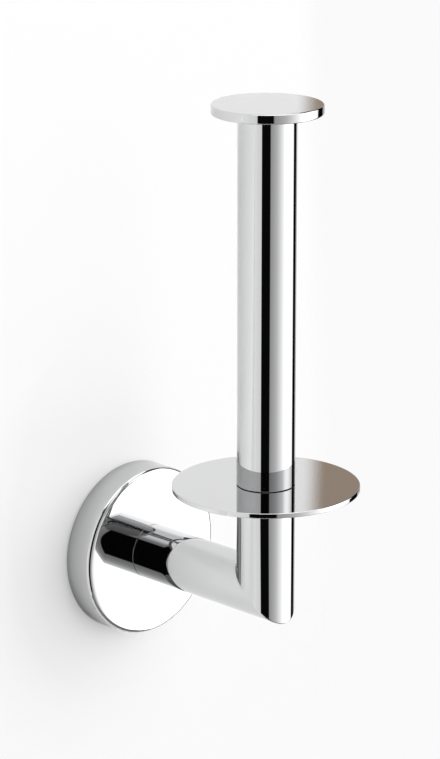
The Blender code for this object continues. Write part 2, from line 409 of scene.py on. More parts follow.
# %% [markdown]
# ## The arm and the upright
#
# One length of tube turns up at a sharp mitred corner: two cuts at 45 degrees, brazed
# and polished flush. A ring of points is extruded along the arm, its last ring is
# leaned over into the mitre plane, and a second extrusion goes straight up from it.
# The corner keeps a crease, whose edge is rounded by half a millimetre. That draws the
# thin grey line under the corner. The tube's inside is made the same way and turned
# inside out, so that the rings at both ends can be bridged.

# %% Skins of the elbow
arm_front = -rosette_box[0].y
arm_gap = 0.00004
arm_start = arm_front + arm_gap
upright_top = disc_box[0].z - arm_gap
projection = -post_axis.y
lean = Matrix.Identity(4)
lean[1][2] = 1


def ring_edges(items, ring):
    """The edges among some items that join the points of one ring."""
    edges = [item for item in items if isinstance(item, bmesh.types.BMEdge)]
    return [edge for edge in edges if all(vertex in ring for vertex in edge.verts)]


def tube_run(shape, radius):
    """Extrude one skin of the elbow, and return its start, mitre and end rings."""
    start = bmesh.ops.create_circle(
        shape,
        cap_ends=False,
        segments=fine_steps,
        radius=radius,
        matrix=Matrix.Translation((0, -arm_start, 0)) @ out_from_wall,
    )["verts"]
    first = ring_edges(shape.edges, start)
    grown = bmesh.ops.extrude_edge_only(shape, edges=first)["geom"]
    corner = [item for item in grown if isinstance(item, bmesh.types.BMVert)]
    bmesh.ops.translate(shape, vec=(0, arm_start - projection, 0), verts=corner)
    bmesh.ops.transform(shape, matrix=lean, verts=corner)
    mitre = ring_edges(grown, corner)
    grown = bmesh.ops.extrude_edge_only(shape, edges=mitre)["geom"]
    top = [item for item in grown if isinstance(item, bmesh.types.BMVert)]
    bmesh.ops.scale(shape, vec=(1, 1, 0), verts=top)
    bmesh.ops.translate(shape, vec=(0, 0, upright_top), verts=top)
    return first, mitre, ring_edges(grown, top)


print("the arm starts at", round(arm_start, 5))
print("the upright ends at", round(upright_top, 5))

# %% Elbow
end_edge = 0.00016
mitre_edge = 0.0005
elbow_shape = bmesh.new()
outer_first, outer_mitre, outer_last = tube_run(elbow_shape, tube_radius)
inner_first, inner_mitre, inner_last = tube_run(elbow_shape, tube_inner)
inner_skin = {face for edge in inner_mitre for face in edge.link_faces}
bmesh.ops.reverse_faces(elbow_shape, faces=list(inner_skin))
bmesh.ops.bridge_loops(elbow_shape, edges=outer_first + inner_first)
bmesh.ops.bridge_loops(elbow_shape, edges=outer_last + inner_last)
bmesh.ops.recalc_face_normals(elbow_shape, faces=elbow_shape.faces)
rings_to_round = (
    (outer_first, end_edge, 3),
    (outer_mitre, mitre_edge, 5),
)
for ring, offset, segments in rings_to_round:
    bmesh.ops.bevel(
        elbow_shape,
        geom=ring,
        offset=offset,
        offset_type="OFFSET",
        segments=segments,
        profile=0.5,
        affect="EDGES",
        material=-1,
    )
print("elbow volume in mm3:", round(elbow_shape.calc_volume(signed=True) * 1e9))
piece(
    "arm_and_upright",
    elbow_shape,
    chrome,
    "holder",
    ["elbow_arm"],
)

# %% [markdown]
# ## The rosette
#
# The rosette is a pressed cup that hides the wall plate. Its front face is a flat
# mirror, and its rim isn't one plain radius: polishing leaves a slow bend that tightens
# towards the side. Three arcs that follow one another give the thin dark line that the
# rim draws round the bright face. The open side stands a hair off the wall.

# %% Rim of the rosette
rosette_radius = rosette_box[1].x
rosette_back = -rosette_box[1].y
cup_wall = 0.0012
rosette_inside = rosette_radius - cup_wall
rosette_floor = arm_front - cup_wall
bolt_hole = 0.0028
rim_bends = [
    (0.0240, 10),
    (0.0040, 16),
    (0.0017, 90),
]
bend_steps = 10


def soft_rim(front_radius, front):
    """Follow the face outwards through arcs that tighten towards the side."""
    radius, height, tilt = front_radius, front, 0.0
    points = [(radius, height)]
    for bend, end in rim_bends:
        end = math.radians(end)
        for step in range(1, bend_steps + 1):
            angle = tilt + (end - tilt) * step / bend_steps
            points.append(
                (
                    radius + bend * (math.sin(angle) - math.sin(tilt)),
                    height - bend * (math.cos(tilt) - math.cos(angle)),
                )
            )
        radius, height = points[-1]
        tilt = end
    return points


bends_reach = soft_rim(0, 0)[-1]
rim = soft_rim(rosette_radius - bends_reach[0], arm_front)
print("the flat face ends at radius", round(rim[0][0], 5))
print("the straight side starts at height", round(rim[-1][1], 5))

# %% Cup with its inside
inner_bend_depth = 0.0012
inner_bend_middle = (0.0034, 0.0001)
inner_bend_reach = 0.0050
cup_back_edge = 0.0004
rosette_steps = 256
cup_shape = turned(
    [(bolt_hole, arm_front)]
    + rim
    + [
        (rosette_radius, rosette_back),
        (rosette_inside, rosette_back),
        (rosette_inside, rosette_floor - inner_bend_depth),
        (rosette_inside - inner_bend_middle[0], rosette_floor - inner_bend_middle[1]),
        (rosette_inside - inner_bend_reach, rosette_floor),
        (bolt_hole, rosette_floor),
    ],
    eased=[len(rim) + 1],
    ease=cup_back_edge,
    steps=rosette_steps,
    segments=3,
)
cup_shape = moved(cup_shape, out_from_wall)
print("cup faces:", len(cup_shape.faces))

# %% [markdown]
# ## Boring and joining
#
# A grub screw goes in through the rosette's side from below, and a small boss inside
# gives it thread to bite in. On the bench the boss is brazed in, then both are bored
# and countersunk in one go. Boolean modifiers do the same, one shape at a time, and the
# result is kept as an ordinary mesh.

# %% Helpers for boring and joining
def loose_object(name, shape):
    """Close a shape's seams and make a working object of it."""
    bmesh.ops.remove_doubles(shape, verts=shape.verts, dist=weld)
    bmesh.ops.recalc_face_normals(shape, faces=shape.faces)
    mesh = bpy.data.meshes.new(name)
    shape.to_mesh(mesh)
    shape.free()
    made = bpy.data.objects.new(name, mesh)
    bpy.context.scene.collection.objects.link(made)
    return made


def carved(shape, tool, operation="DIFFERENCE"):
    """Bore a tool out of a shape, or join it on with UNION, and return the result."""
    work = loose_object("work", shape)
    cutter = loose_object("cutter", tool)
    modifier = work.modifiers.new("carve", "BOOLEAN")
    modifier.operation = operation
    modifier.solver = "EXACT"
    modifier.object = cutter
    result = bmesh.new()
    result.from_object(work, bpy.context.evaluated_depsgraph_get())
    for made in (work, cutter):
        mesh = made.data
        bpy.data.objects.remove(made)
        bpy.data.meshes.remove(mesh)
    return result


def slab(low, high, ease=0.0):
    """A block between two corners, with rounded edges."""
    shape = bmesh.new()
    low, high = Vector(low), Vector(high)
    matrix = Matrix.Translation((low + high) / 2) @ Matrix.Diagonal((*(high - low), 1))
    bmesh.ops.create_cube(shape, size=1, matrix=matrix)
    if ease:
        bmesh.ops.bevel(
            shape,
            geom=shape.edges[:],
            offset=ease,
            offset_type="OFFSET",
            segments=3,
            profile=0.5,
            affect="EDGES",
            material=-1,
        )
    return shape


# %% Boss and grub screw hole
clearance = 0.0003
soft_edge = 0.0004
overlap = 0.0005
boss_wall = 0.0018
countersink = 0.0013
hole_depth = 0.0065
plain_steps = 64
grub_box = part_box("rosette_grub_screw")
grub_radius = grub_box[1].x
grub_place = Vector((0, (grub_box[0].y + grub_box[1].y) / 2, grub_box[0].z))
boss_half = grub_radius + boss_wall
boss_top = grub_box[1].z - clearance
boss = slab(
    (-boss_half, -rosette_floor - overlap, -rosette_inside - overlap),
    (boss_half, grub_place.y + boss_half, boss_top),
    soft_edge,
)
hole_radius = grub_radius + clearance
hole = turned(
    [
        (0, -countersink),
        (hole_radius + countersink, -countersink),
        (hole_radius, 0),
        (hole_radius, hole_depth),
        (0, hole_depth),
    ],
    steps=plain_steps,
)
cup_shape = carved(cup_shape, boss, "UNION")
cup_shape = carved(cup_shape, moved(hole, place=grub_place))
open_edges = sum(not edge.is_manifold for edge in cup_shape.edges)
print("rosette edges that aren't closed:", open_edges)
piece("rosette_polished", cup_shape, chrome, "holder", ["rosette"])

# %% [markdown]
# ## Screw threads
#
# A thread is one small triangle that is spun round the axis while it climbs by a pitch
# each turn. It becomes a closed ridge, which is joined to a plain core. The real screws
# are rolled from wire in the same shape.

# %% Thread helper
steps_per_turn = 36
thinnest = 0.15
sunk_in = 0.9
root_share = 0.32
crest_share = 0.05


def threaded(
    core, core_radius, crest_radius, pitch, start, end, taper_from=None, taper_to=0.0
):
    """Join a right-handed ridge to a core that stands along Z."""
    ridge = bmesh.new()
    inside = core_radius * sunk_in
    root_half, crest_half = pitch * root_share, pitch * crest_share
    corners = [
        (inside, -root_half),
        (crest_radius, -crest_half),
        (crest_radius, crest_half),
        (inside, root_half),
    ]
    points = [ridge.verts.new((radius, 0, start + climb)) for radius, climb in corners]
    face = ridge.faces.new(points)
    turns = (end - start) / pitch
    steps = round(turns * steps_per_turn)
    bmesh.ops.spin(
        ridge,
        geom=[face] + face.edges[:] + face.verts[:],
        cent=(0, 0, 0),
        axis=(0, 0, 1),
        dvec=(0, 0, (end - start) / steps),
        angle=full_turn * turns,
        steps=steps,
        use_merge=False,
    )
    if taper_from is not None:
        for vertex in ridge.verts:
            if vertex.co.z > taper_from:
                left = (taper_to - vertex.co.z) / (taper_to - taper_from)
                vertex.co.xy *= thinnest + (1 - thinnest) * max(left, 0)
    return carved(core, ridge, "UNION")


def hexagon(radius, low, high):
    """A six-sided key, to cut a socket with."""
    shape = bmesh.new()
    bmesh.ops.create_cone(
        shape,
        cap_ends=True,
        segments=6,
        radius1=radius,
        radius2=radius,
        depth=high - low,
        matrix=Matrix.Translation((0, 0, (low + high) / 2)),
    )
    return shape


# %% Grub screw
overshoot = 0.001
grub_length = grub_box[1].z - grub_box[0].z
grub_core = 0.0016
grub_pitch = 0.0007
grub_key = 0.00115
grub_key_depth = 0.002
grub_lip = 0.0002
grub_cone = 0.0008
cup_point = (0.0012, 0.0009)
cup_point_depth = 0.0005
grub_thread_start = 0.0005
grub_thread_end = grub_length - 0.0011
grub_shape = turned(
    [
        (0, 0),
        (grub_core, 0),
        (grub_core + grub_lip, grub_lip),
        (grub_core, grub_length - grub_cone),
        (cup_point[0], grub_length),
        (cup_point[1], grub_length),
        (0, grub_length - cup_point_depth),
    ],
    steps=plain_steps,
)
grub_shape = threaded(
    grub_shape,
    grub_core,
    grub_radius,
    grub_pitch,
    grub_thread_start,
    grub_thread_end,
)
grub_shape = carved(grub_shape, hexagon(grub_key, -overshoot, grub_key_depth))
grub_shape = moved(grub_shape, place=grub_place)
piece(
    "grub_screw_turned",
    grub_shape,
    steel,
    "grub_screw",
    ["rosette_grub_screw"],
)

# %% [markdown]
# ## The wall plate
#
# Behind the rosette sits a die-cast zinc dish, screwed flat to the wall. Its edges are
# round because hot metal doesn't fill a sharp corner, four low ribs stiffen its floor,
# and a notch at the bottom lets the rosette's boss slide over it.

# %% Wall plate
plate_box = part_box("wall_plate")
plate_radius = plate_box[1].x
plate_depth = -plate_box[0].y
plate_floor = 0.0025
pocket_radius = plate_radius - 0.0075
relief = 0.0004
relief_start = 0.0080
foot_width = 0.0020
pocket_draft = 0.0001
plate_shape = turned(
    [
        (0, 0),
        (relief_start, 0),
        (relief_start + relief, relief),
        (plate_radius - foot_width - relief, relief),
        (plate_radius - foot_width, 0),
        (plate_radius, 0),
        (plate_radius, plate_depth),
        (pocket_radius + pocket_draft, plate_depth),
        (pocket_radius, plate_floor),
        (0, plate_floor),
    ],
    eased=[5, 6, 7, 8],
    ease=soft_edge,
    segments=4,
)
print("plain dish faces:", len(plate_shape.faces))

# %% Ribs and notch
rib_start = 0.0055
rib_half = 0.0008
rib_height = 0.0010
rib_bite = 0.0015
for turn in (45, 135, 225, 315):
    rib = slab(
        (rib_start, -rib_half, plate_floor - rib_half),
        (pocket_radius + rib_bite, rib_half, plate_floor + rib_height),
        soft_edge,
    )
    rib = moved(rib, Matrix.Rotation(math.radians(turn), 4, "Z"))
    plate_shape = carved(plate_shape, rib, "UNION")
plate_shape = moved(plate_shape, out_from_wall)
notch_half = boss_half + clearance
notch_ease = 0.0006
notch_overshoot = 0.002
notch = slab(
    (-notch_half, -plate_depth - notch_overshoot, -plate_radius - notch_overshoot),
    (notch_half, notch_overshoot, grub_box[1].z + clearance),
    notch_ease,
)
plate_shape = carved(plate_shape, notch)
print("dish faces with ribs and notch:", len(plate_shape.faces))

# %% Countersunk holes in the plate
screw_boxes = {side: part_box(f"wall_screw_{side}") for side in ("left", "right")}
head_radius = (screw_boxes["left"][1].x - screw_boxes["left"][0].x) / 2
shank_radius = 0.00175
head_edge = 0.0003
head_height = 0.0019
head_steps = 96
screw_places = {}
for side, box in screw_boxes.items():
    screw_places[side] = Vector(((box[0].x + box[1].x) / 2, box[0].y, 0))
    sink = turned(
        [
            (0, -overshoot),
            (head_radius + clearance, -overshoot),
            (head_radius + clearance, head_edge),
            (shank_radius + clearance, head_height),
            (shank_radius + clearance, plate_floor + overshoot),
            (0, plate_floor + overshoot),
        ],
        steps=head_steps,
    )
    plate_shape = carved(plate_shape, moved(sink, into_wall, screw_places[side]))
piece("plate_cast", plate_shape, zinc, "wall_side", ["wall_plate"])

# %% [markdown]
# ## Wall screws and plugs
#
# Two countersunk screws with a cross recess go through the plate into plastic plugs.
# The plugs are split and barbed, so that they grip the drilled hole when the screw
# spreads them.

# %% Wall screws
screw_length = screw_boxes["left"][1].y - screw_boxes["left"][0].y
screw_core = 0.00125
neck_radius = shank_radius - 0.0002
neck_end = 0.0045
core_start = 0.0050
head_chamfer = 0.0001
screw_pitch = 0.0018
thread_start = 0.0062
thread_end = screw_length - 0.0012
point_from = screw_length - 0.004
cross_half = 0.0019
blade_half = 0.00035
cross_depth = 0.0011
cross_taper = (0.6, 0.8, 1)
for side, place in screw_places.items():
    screw_shape = turned(
        [
            (0, 0),
            (head_radius - head_chamfer, 0),
            (head_radius, head_chamfer),
            (head_radius, head_edge),
            (neck_radius, head_height),
            (neck_radius, neck_end),
            (screw_core, core_start),
            (screw_core, point_from),
            (0, screw_length),
        ],
        steps=plain_steps,
    )
    screw_shape = threaded(
        screw_shape,
        screw_core,
        shank_radius,
        screw_pitch,
        thread_start,
        thread_end,
        taper_from=point_from,
        taper_to=screw_length,
    )
    for quarter in (0, 90):
        blade = slab(
            (-cross_half, -blade_half, -overshoot),
            (cross_half, blade_half, cross_depth),
        )
        tip = [vertex for vertex in blade.verts if vertex.co.z > 0]
        bmesh.ops.scale(blade, vec=cross_taper, verts=tip)
        blade = moved(blade, Matrix.Rotation(math.radians(quarter), 4, "Z"))
        screw_shape = carved(screw_shape, blade)
    shape = moved(screw_shape, into_wall, place)
    cad_name = f"wall_screw_{side}"
    piece(f"screw_{side}", shape, steel, "wall_side", [cad_name])

# %% Wall plugs
plug_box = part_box("wall_plug_left")
plug_radius = (plug_box[1].x - plug_box[0].x) / 2
plug_inner = shank_radius + clearance
plug_mouth, plug_tip = plug_box[0].y, plug_box[1].y
collar_end = 0.0012
sleeve_radius = plug_radius - 0.0002
sleeve_start = 0.0013
sleeve_end = 0.0075
barb_count = 8
barb_start = 0.0078
barb_pitch = 0.0024
barb_flat = 0.0003
barb_slope = 0.0022
barb_depth = 0.00045
barbs = [(sleeve_radius, sleeve_start), (sleeve_radius, sleeve_end)]
for index in range(barb_count):
    start = barb_start + barb_pitch * index
    barbs += [
        (plug_radius, start),
        (plug_radius, start + barb_flat),
        (plug_radius - barb_depth, start + barb_slope),
    ]
nose_start = 0.0285
nose_step = 0.0005
nose_wall = 0.0002
slit_start = plug_mouth + 0.006
slit_half = 0.00045
slit_reach = 0.004
for side, place in screw_places.items():
    plug_shape = turned(
        [
            (plug_inner, plug_mouth),
            (plug_radius, plug_mouth),
            (plug_radius, collar_end),
        ]
        + barbs
        + [
            (plug_radius - nose_step, nose_start),
            (plug_inner + nose_wall, plug_tip),
            (plug_inner, plug_tip),
        ],
        steps=plain_steps,
    )
    slit = slab(
        (-slit_reach, -slit_half, slit_start),
        (slit_reach, slit_half, plug_tip + overshoot),
    )
    shape = moved(carved(plug_shape, slit), into_wall, (place.x, 0, 0))
    cad_name = f"wall_plug_{side}"
    piece(f"plug_{side}", shape, plastic, "wall_side", [cad_name])

# %% [markdown]
# ## The bolt and the studs
#
# A bolt pulls the rosette against the arm from inside, and two studs do the same for
# the disc, the post and the cap. They are seen only when the holder is taken down or
# apart, but they get real threads and sockets too.

# %% Arm bolt
bolt_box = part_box("arm_bolt")
bolt_back = -bolt_box[1].y
bolt_end = -bolt_box[0].y
bolt_radius = 0.0025
bolt_core = 0.0021
bolt_head_end = bolt_back + 0.0028
bolt_neck_end = bolt_back + 0.0045
bolt_core_start = bolt_back + 0.0049
bolt_thread_start = bolt_back + 0.0055
bolt_thread_end = bolt_end - 0.0006
bolt_pitch = 0.0008
bolt_key = 0.0023
bolt_key_depth = 0.0016
tip_chamfer = 0.0003
bolt_shape = turned(
    [
        (0, bolt_back),
        (bolt_box[1].x, bolt_back),
        (bolt_box[1].x, bolt_head_end),
        (bolt_radius, bolt_head_end),
        (bolt_radius, bolt_neck_end),
        (bolt_core, bolt_core_start),
        (bolt_core, bolt_end - tip_chamfer),
        (bolt_core - tip_chamfer, bolt_end),
        (0, bolt_end),
    ],
    eased=[1],
    ease=soft_edge,
    steps=head_steps,
)
bolt_shape = threaded(
    bolt_shape, bolt_core, bolt_radius, bolt_pitch, bolt_thread_start, bolt_thread_end
)
socket = hexagon(bolt_key, bolt_back - overshoot, bolt_back + bolt_key_depth)
bolt_shape = moved(carved(bolt_shape, socket), out_from_wall)
piece("arm_bolt_turned", bolt_shape, steel, "holder", ["arm_bolt"])

# %% Studs
stud_thread_depth = 0.0005
stud_pitch = 0.001
stud_chamfer = (0.0004, 0.0006)
stud_plain_end = 0.0009
for name in ("post_stud", "cap_stud"):
    low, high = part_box(name)
    radius, core = high.x, high.x - stud_thread_depth
    stud_shape = turned(
        [
            (0, low.z),
            (core - stud_chamfer[0], low.z),
            (core, low.z + stud_chamfer[1]),
            (core, high.z - stud_chamfer[1]),
            (core - stud_chamfer[0], high.z),
            (0, high.z),
        ],
        steps=plain_steps,
    )
    stud_shape = threaded(
        stud_shape,
        core,
        radius,
        stud_pitch,
        low.z + stud_plain_end,
        high.z - stud_plain_end,
    )
    shape = moved(stud_shape, place=post_axis)
    piece(f"{name}_threaded", shape, steel, "holder", [name])


# %% [markdown]
# ## Pieces that keep their CAD solids
#
# The inserts, washers and the locating pin are shut inside the tubes. Their turned
# solids have the right shape already, so they only get their metals.

# %% Hidden pieces
cad_finish = {
    "arm_bolt_washer": steel,
    "locating_pin": steel,
    "disc_washer": steel,
    "post_washer": steel,
    "arm_insert": brass,
    "elbow_insert": brass,
    "post_insert_lower": brass,
    "post_insert_upper": brass,
}
for name, material in cad_finish.items():
    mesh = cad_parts[name].data
    mesh.materials.clear()
    mesh.materials.append(material)
print("CAD solids with a new finish:", len(cad_finish))

# %% [markdown]
# ## The camera
#
# The photograph looks down a little from the left, at 45 degrees to the wall, through a
# long lens. The camera stands about a metre away.

# %% Camera
view_azimuth = math.radians(-45)
view_elevation = math.radians(16.291)
view_distance = 0.9679
view_target = Vector((-0.009914, -0.051586, 0.067719))
towards_camera = Vector(
    (
        math.sin(view_azimuth) * math.cos(view_elevation),
        -math.cos(view_azimuth) * math.cos(view_elevation),
        math.sin(view_elevation),
    )
)
camera_data = bpy.data.cameras.new("camera")
camera_data.lens = 150.95
camera = bpy.data.objects.new("camera", camera_data)
camera.location = view_target + towards_camera * view_distance
camera.rotation_euler = towards_camera.to_track_quat("Z", "Y").to_euler()
bpy.context.scene.collection.objects.link(camera)
bpy.context.scene.camera = camera
print("camera at", [round(value, 3) for value in camera.location])

# %% [markdown]
# ## The studio that the chrome reflects
#
# A photographer lights chrome by placing white panels and black strips round it. Here
# the world does that: its light depends only on direction. One colour ramp goes round
# the horizon, a bright panel hangs high in front and a dark card high on the right, and
# a pale ceiling lies overhead behind a thin gap. Matte surfaces see an even light
# instead, and the camera sees a pale background.

# %% Colour ramps
def ramp(tree, low, high, stops, at):
    """A colour ramp from (place, brightness or colour) stops between low and high."""
    made = node(tree, "ShaderNodeValToRGB", at)
    elements = made.color_ramp.elements
    while len(elements) < len(stops):
        elements.new(0.5)
    for element, (place, value) in zip(elements, stops):
        colour = value if isinstance(value, tuple) else (value,) * 3
        element.position = (place - low) / (high - low)
        element.color = (*colour, 1)
    return made


warm_grey = (0.545, 0.434, 0.344)
studio_stops = [
    (-180, 1.4),
    (-120, 1.55),
    (-90, 1.48),
    (-80, 1.38),
    (-66.1, 1.3),
    (-65.8, 0.005),
    (-32.4, 0.005),
    (-32.1, 0.56),
    (-23, 0.67),
    (-11, 0.86),
    (-5, 0.98),
    (2, 1.2),
    (10, 1.5),
    (17, 1.76),
    (25, 2.1),
    (30, 2.8),
    (36, 3.4),
    (45, 3.8),
    (54, 3.5),
    (63, 3.0),
    (72, 2.2),
    (78.0, 1.9),
    (78.3, 0.005),
    (104, 0.005),
    (104.6, 0.8),
    (116, 0.8),
    (119, warm_grey),
    (165, warm_grey),
    (180, 1.4),
]
print("stops round the horizon:", len(studio_stops))

# %% World
world = bpy.data.worlds.new("studio")
bpy.context.scene.world = world
world.use_nodes = True
sky = world.node_tree
sky.nodes.clear()
link = sky.links.new
direction = node(sky, "ShaderNodeTexCoord", (-1600, 0))
split = node(sky, "ShaderNodeSeparateXYZ", (-1400, 0))
link(direction.outputs["Generated"], split.inputs["Vector"])
outward = node(sky, "ShaderNodeMath", (-1200, 0), operation="MULTIPLY")
outward.inputs[1].default_value = -1
link(split.outputs["Y"], outward.inputs[0])
turn_angle = node(sky, "ShaderNodeMath", (-1000, 0), operation="ARCTAN2")
link(split.outputs["X"], turn_angle.inputs[0])
link(outward.outputs["Value"], turn_angle.inputs[1])
horizon = node(sky, "ShaderNodeMapRange", (-800, 0))
horizon.inputs["From Min"].default_value = -math.pi
horizon.inputs["From Max"].default_value = math.pi
link(turn_angle.outputs["Value"], horizon.inputs["Value"])
around = ramp(sky, -180, 180, studio_stops, (-550, 0))
link(horizon.outputs["Result"], around.inputs["Fac"])


def rise(low, high, at):
    """How far a direction has climbed between two values of its Z, from 0 to 1."""
    made = node(sky, "ShaderNodeMapRange", at, interpolation_type="SMOOTHSTEP")
    made.inputs["From Min"].default_value = low
    made.inputs["From Max"].default_value = high
    link(split.outputs["Z"], made.inputs["Value"])
    return made.outputs["Result"]


def layered(seen_so_far, colour, share, at):
    """Pass from what is seen so far to a colour as the share goes from 0 to 1."""
    made = node(sky, "ShaderNodeMix", at, data_type="RGBA")
    link(seen_so_far, made.inputs["A"])
    link(share, made.inputs["Factor"])
    made.inputs["B"].default_value = colour
    return made.outputs["Result"]


print("direction nodes:", len(sky.nodes))

# %% Cards, gap and ceiling
bright_panel = (2.2, 2.2, 2.2, 1)
dark_card = (0.12, 0.12, 0.12, 1)
gap_colour = (0.3, 0.3, 0.3, 1)
ceiling_colour = (2.6, 2.6, 2.6, 1)
panel_span = [(-180, 0), (-26, 0), (-14, 1), (40, 1), (46, 0)]
card_span = [(-180, 0), (42, 0), (46, 1), (125, 1), (130, 0)]
cards = (
    (bright_panel, panel_span, 0.5, 0.62),
    (dark_card, card_span, 0.56, 0.6),
)
seen = around.outputs["Color"]
for index, (colour, stops, low, high) in enumerate(cards):
    left = -700 - 300 * index
    card = ramp(sky, -180, 180, stops, (-550, left + 400))
    link(horizon.outputs["Result"], card.inputs["Fac"])
    card_share = node(sky, "ShaderNodeMath", (-300, left + 400), operation="MULTIPLY")
    link(card.outputs["Color"], card_share.inputs[0])
    link(rise(low, high, (-550, left)), card_share.inputs[1])
    seen = layered(seen, colour, card_share.outputs["Value"], (-100, left))
climbs = (
    (gap_colour, 0.745, 0.755),
    (ceiling_colour, 0.81, 0.825),
)
for index, (colour, low, high) in enumerate(climbs):
    share = rise(low, high, (-300, 700 - 200 * index))
    seen = layered(seen, colour, share, (-100, 600 - 200 * index))
print("nodes with the cards:", len(sky.nodes))

# %% What each kind of ray sees
even_light = (0.4, 0.4, 0.4, 1)
background_pale = (0.955, 0.955, 0.955, 1)
reflected = node(sky, "ShaderNodeBackground", (250, 100), Strength=1)
link(seen, reflected.inputs["Color"])
even = node(sky, "ShaderNodeBackground", (250, -50), Strength=1)
even.inputs["Color"].default_value = even_light
backdrop = node(sky, "ShaderNodeBackground", (250, -200), Strength=1)
backdrop.inputs["Color"].default_value = background_pale
path = node(sky, "ShaderNodeLightPath", (0, 500))
mirror_ray = node(sky, "ShaderNodeMath", (250, 400), operation="MAXIMUM")
link(path.outputs["Is Glossy Ray"], mirror_ray.inputs[0])
link(path.outputs["Is Transmission Ray"], mirror_ray.inputs[1])
matte_or_mirror = node(sky, "ShaderNodeMixShader", (500, 0))
link(mirror_ray.outputs["Value"], matte_or_mirror.inputs["Fac"])
link(even.outputs["Background"], matte_or_mirror.inputs[1])
link(reflected.outputs["Background"], matte_or_mirror.inputs[2])
with_camera = node(sky, "ShaderNodeMixShader", (750, 0))
link(path.outputs["Is Camera Ray"], with_camera.inputs["Fac"])
link(matte_or_mirror.outputs["Shader"], with_camera.inputs[1])
link(backdrop.outputs["Background"], with_camera.inputs[2])
output = node(sky, "ShaderNodeOutputWorld", (1000, 0))
link(with_camera.outputs["Shader"], output.inputs["Surface"])
print("world nodes:", len(sky.nodes))

# %% [markdown]
# ## The wall and the floor
#
# The wall is a pale matte panel. Part of what the camera sees of it is a glow of its
# own, painted light, and the rest is the light that falls on it, so it is nearly white
# and still keeps the soft shadow of the rosette. Higher up and further out the painted
# glow takes over and washes out the shadow of the post. The camera also sees the wall a
# little darker low down, which is painted shade. The chrome sees it with painted shade:
# a little darker high up, low down and to the right, and with a painted contact shadow
# close to the rosette. Its right edge fades out, so that the disc and the cap mirror a
# warm tone beyond it. From behind it is see-through, and it is open where the plate
# covers it, so that plate, screws and plugs can be looked at from there.

# %% Matte surfaces
def empty_material(name):
    """A material without nodes, with its node tree."""
    made = bpy.data.materials.new(name)
    made.use_nodes = True
    made.node_tree.nodes.clear()
    return made, made.node_tree


darkest_tone = 0.985


def matte_colour(tree, colour):
    """A matte surface whose tone wanders by about one percent."""
    place = node(tree, "ShaderNodeTexCoord", (-1300, 0))
    mottle = node(tree, "ShaderNodeTexNoise", (-850, 0), Scale=3, Detail=2)
    shade = node(tree, "ShaderNodeValToRGB", (-650, 0))
    darker = [value * darkest_tone for value in colour]
    shade.color_ramp.elements[0].color = (*darker, 1)
    shade.color_ramp.elements[1].color = (*colour, 1)
    matte = node(tree, "ShaderNodeBsdfDiffuse", (-350, 0))
    tree.links.new(place.outputs["Object"], mottle.inputs["Vector"])
    tree.links.new(mottle.outputs["Fac"], shade.inputs["Fac"])
    tree.links.new(shade.outputs["Color"], matte.inputs["Color"])
    return place, matte


def black_surface(tree, at):
    """A surface that gives no light back."""
    made = node(tree, "ShaderNodeBsdfDiffuse", at)
    made.inputs["Color"].default_value = (0, 0, 0, 1)
    return made.outputs["BSDF"]


print("matte tones run from", darkest_tone, "to 1 times their colour")

# %% Values and mixes in a node tree
def graded(tree, length, stops, at):
    """Levels along a length, from (metres, level) stops."""
    low, high = stops[0][0], stops[-1][0]
    span = node(tree, "ShaderNodeMapRange", at)
    span.inputs["From Min"].default_value = low
    span.inputs["From Max"].default_value = high
    line = ramp(tree, low, high, stops, (at[0] + 200, at[1]))
    tree.links.new(length, span.inputs["Value"])
    tree.links.new(span.outputs["Result"], line.inputs["Fac"])
    return line.outputs["Color"]


def combined(tree, kind, first, second, at):
    """Join two values with one math operation."""
    made = node(tree, "ShaderNodeMath", at, operation=kind)
    for socket, value in zip(made.inputs, (first, second)):
        if isinstance(value, float):
            socket.default_value = value
        else:
            tree.links.new(value, socket)
    return made.outputs["Value"]


def mixed(tree, share, first, second, at):
    """Mix two shaders."""
    made = node(tree, "ShaderNodeMixShader", at)
    for socket, value in zip(made.inputs, (share, first, second)):
        tree.links.new(value, socket)
    return made.outputs["Shader"]


# %% Wall levels
# The wall's glow for camera rays is painted light. Its share grows higher up and further
# from the rosette, where it washes out the post's shadow.
wall_own_light = 1.6
painted_glow_share = [(0.0, 0.38), (0.048, 0.38), (0.06, 0.6), (0.075, 0.8), (0.12, 0.9)]
painted_glow_share_above = [(0.0, 0.38), (0.03, 0.5), (0.06, 0.74), (0.09, 0.88)]
# Painted shade on the wall as the chrome sees it: darker low down, high up and to the
# right.
painted_shade_with_height = [
    (-0.08, 0.17),
    (-0.06, 0.145),
    (-0.045, 0.1),
    (-0.03, 0.045),
    (-0.015, 0.01),
    (0.0, 0.0),
    (0.06, 0.05),
    (0.12, 0.09),
    (0.2, 0.1),
]
painted_shade_to_the_right = [(0.0, 0.0), (0.015, 0.07), (0.03, 0.1), (0.06, 0.1)]
# A painted contact shadow round the rosette, for mirror rays.
painted_contact_shadow = [
    (0.0270, 0.3),
    (0.0285, 0.2),
    (0.0300, 0.13),
    (0.0330, 0.07),
    (0.0400, 0.0),
]
# Camera rays see the wall dimmed to its pale level, and a little darker low down:
# painted shade.
camera_dim = [(-0.06, 0.404), (0.0, 0.391), (0.1, 0.379), (0.2, 0.376)]
print("levels along the wall's height:", len(painted_shade_with_height))

